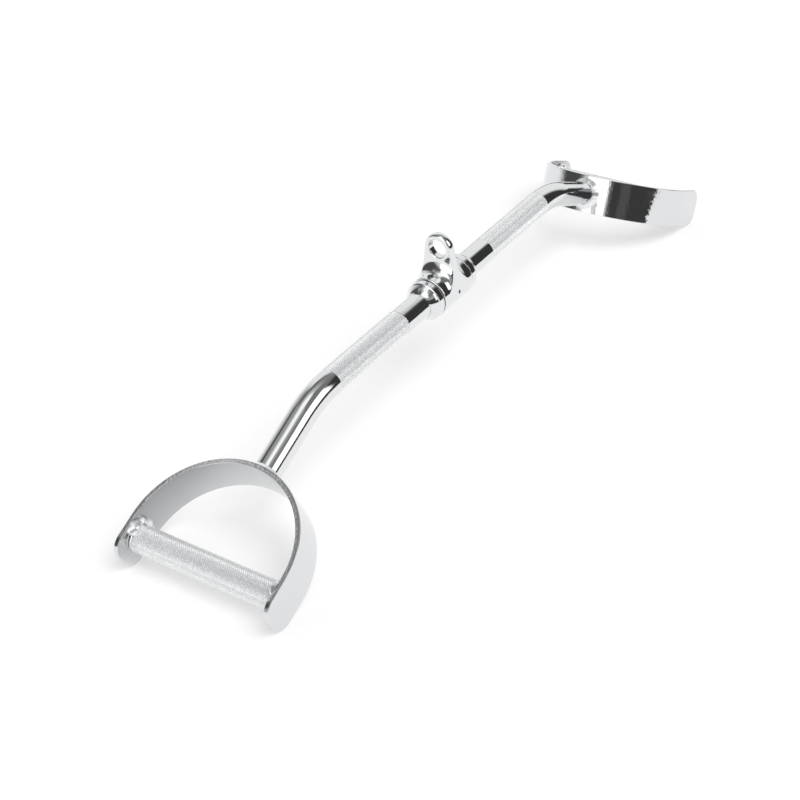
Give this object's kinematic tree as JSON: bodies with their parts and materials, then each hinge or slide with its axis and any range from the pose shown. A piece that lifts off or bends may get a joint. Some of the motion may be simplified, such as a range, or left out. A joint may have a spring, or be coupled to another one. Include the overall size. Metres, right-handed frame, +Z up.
{
  "type": "lat pulldown bar",
  "caption": "Straight bar with both ends bent down, a stirrup with a knurled grip on each end and a revolving hanger in the middle for a cable machine.",
  "frame": {"origin": "on the surface the bar stands on, under the middle of the hanger", "axes": "+X along the bar from the left stirrup to the right one, +Y to the back, +Z up; the grips lie along Y"},
  "size_m": [0.7664, 0.162, 0.1528],
  "materials": {
    "chromed_steel": "bright chrome plate on steel",
    "chromed_casting": "bright chrome plate on a steel casting, slightly wavy",
    "chromed_weld": "chrome plated weld bead",
    "chromed_knurl": "chrome plate over diamond knurling",
    "plain_steel": "turned steel, oiled",
    "bronze_liner": "sintered bronze, oiled",
    "black_screw_steel": "black oxide"
  },
  "bodies": {
    "bar_assembly": {"main_bar": "chromed_steel", "left_thrust_washer": "plain_steel", "left_collar": "chromed_steel", "left_collar_screw": "black_screw_steel", "left_stirrup": "chromed_steel", "left_stirrup_weld": "chromed_weld", "left_grip": "chromed_knurl", "left_front_grip_weld": "chromed_weld", "left_back_grip_weld": "chromed_weld", "right_thrust_washer": "plain_steel", "right_collar": "chromed_steel", "right_collar_screw": "black_screw_steel", "right_stirrup": "chromed_steel", "right_stirrup_weld": "chromed_weld", "right_grip": "chromed_knurl", "right_front_grip_weld": "chromed_weld", "right_back_grip_weld": "chromed_weld"},
    "swivel_hanger": {"hanger": "chromed_casting", "hanger_bush": "bronze_liner"}
  },
  "joints": [
    {"name": "hanger_swivel", "type": "hinge", "parent": "bar_assembly", "child": "swivel_hanger", "pos_m": [0, 0, 0.09632], "axis": [1, 0, 0], "continuous": true}
  ]
}
